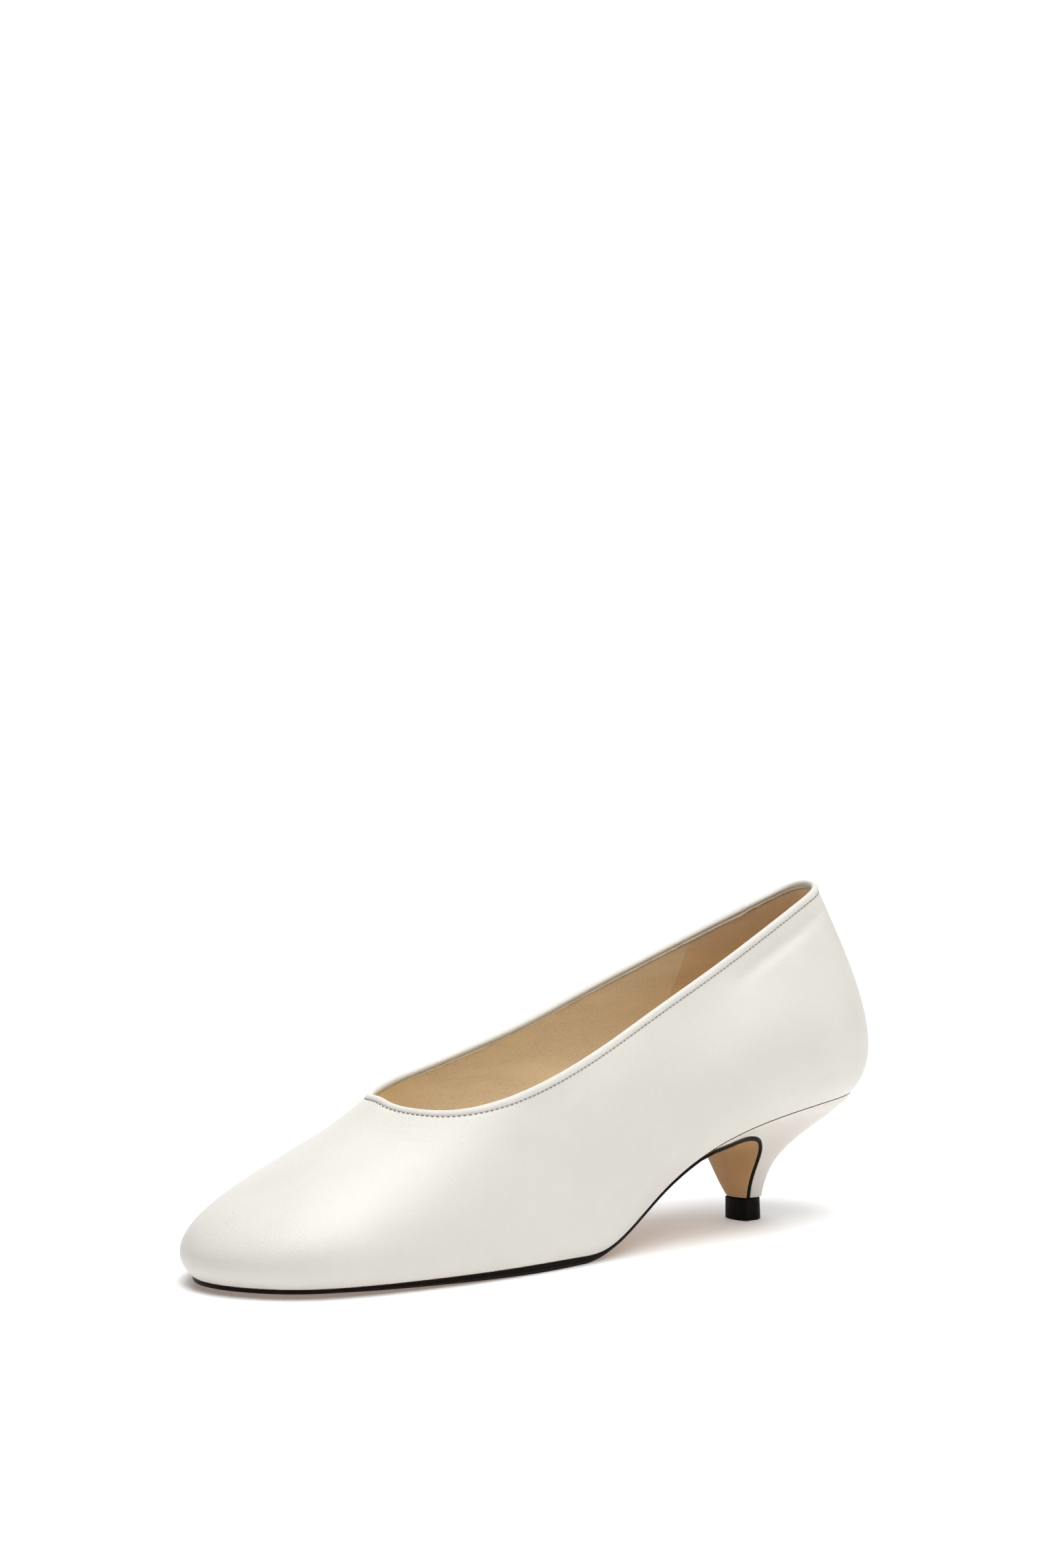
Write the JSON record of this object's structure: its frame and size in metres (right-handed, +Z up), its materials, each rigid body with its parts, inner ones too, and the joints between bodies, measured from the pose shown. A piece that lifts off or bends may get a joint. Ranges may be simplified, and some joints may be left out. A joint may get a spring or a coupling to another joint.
{
  "type": "kitten heel pump",
  "caption": "Left slip-on pump with a soft almond toe, a rolled topline, a thin sole turned down the heel breast and a low curved heel on a black top piece.",
  "frame": {"origin": "on the floor, under the middle of the shoe's box in plan", "axes": "+Z up from the floor, toe to -Y, heel to +Y, outer (lateral) side to +X"},
  "size_m": [0.0752, 0.238, 0.1053],
  "materials": {
    "nappa_leather": "satin",
    "lining_leather": "matte",
    "sole_leather": "satin",
    "heel_cover": "satin",
    "top_piece_rubber": "matte"
  },
  "bodies": {
    "root": {"upper": "nappa_leather", "topline_binding": "nappa_leather", "insole": "lining_leather", "outsole": "sole_leather", "heel": "heel_cover", "top_piece": "top_piece_rubber"}
  },
  "joints": []
}
